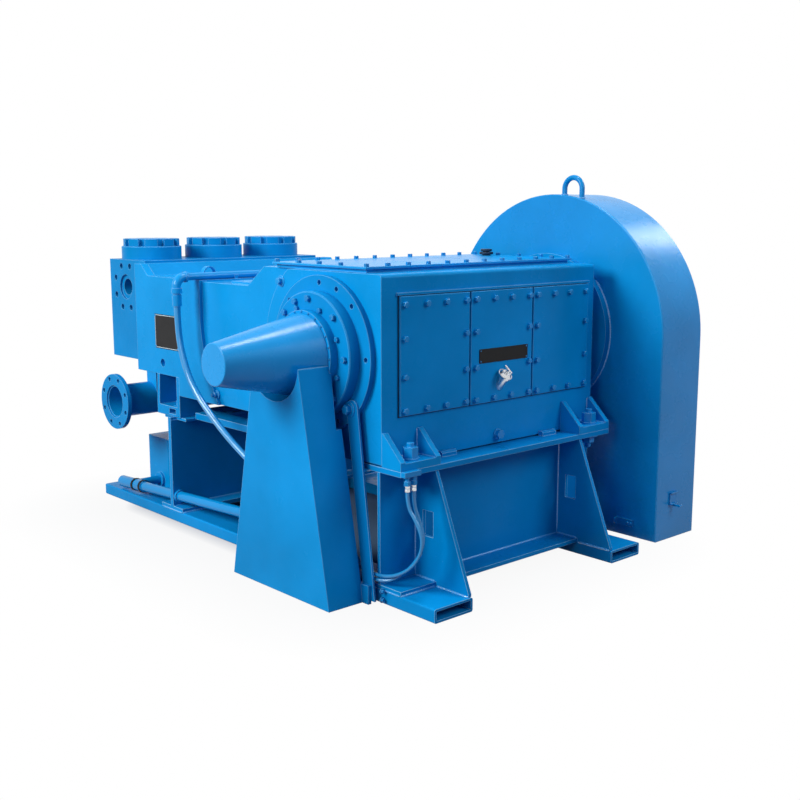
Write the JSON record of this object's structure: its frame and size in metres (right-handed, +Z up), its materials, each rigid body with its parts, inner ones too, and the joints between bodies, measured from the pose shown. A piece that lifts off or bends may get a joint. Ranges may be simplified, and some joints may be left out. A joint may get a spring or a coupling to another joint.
{
  "type": "triplex mud pump",
  "caption": "Skid-mounted triplex mud pump with a crankcase, a cone shaft guard, a rounded belt guard, a cradle and a forged fluid end with a side suction flange.",
  "frame": {"origin": "middle of the whole pump's footprint, on the ground under the skid rails", "axes": "+Z up, +Y from the crankcase's rear covers to the fluid end, -X to the cone guard and the suction flange"},
  "size_m": [2.208, 2.688, 1.686],
  "materials": {
    "blue_paint": "glossy blue enamel over steel and castings",
    "black_plate": "plain black plate",
    "name_plate": "thin black plate with a pale border, blank",
    "black_strap": "black clamp band",
    "dark_metal": "dark cast metal"
  },
  "bodies": {
    "root": {"bearing_caps": "blue_paint", "bearing_rings": "blue_paint", "belt_guard": "blue_paint", "breather": "dark_metal", "cone_collar": "blue_paint", "cone_guard": "blue_paint", "cone_stand": "blue_paint", "cradle_deck": "blue_paint", "cradle_feet": "blue_paint", "cradle_front": "blue_paint", "cradle_sides": "blue_paint", "crankcase": "blue_paint", "crankcase_feet": "blue_paint", "cylinder_head_covers": "blue_paint", "cylinder_liners": "blue_paint", "drain_box": "blue_paint", "drain_pipe": "blue_paint", "drain_plug": "blue_paint", "fluid_end_block": "blue_paint", "fluid_pedestal": "blue_paint", "guard_handle": "blue_paint", "guard_hook": "blue_paint", "guard_hub_ring": "blue_paint", "hold_down_nuts": "blue_paint", "hose_block": "blue_paint", "label_plate": "black_plate", "lifting_eye": "blue_paint", "lube_hose": "blue_paint", "lube_pipe": "blue_paint", "nameplate": "name_plate", "oil_filler": "blue_paint", "pipe_clamps": "black_strap", "piston_rods": "blue_paint", "power_gussets": "blue_paint", "power_pedestal_base": "blue_paint", "power_pedestal_shelf": "blue_paint", "power_pedestal_web": "blue_paint", "rear_covers": "blue_paint", "skid_rails": "blue_paint", "small_hose_a": "blue_paint", "small_hose_b": "blue_paint", "stand_strap": "blue_paint", "suction_flange": "blue_paint", "suction_pipe": "blue_paint", "suction_risers": "blue_paint", "tie_bars": "blue_paint", "top_covers": "blue_paint", "valve_caps": "blue_paint", "valve_pots": "blue_paint"}
  },
  "joints": []
}
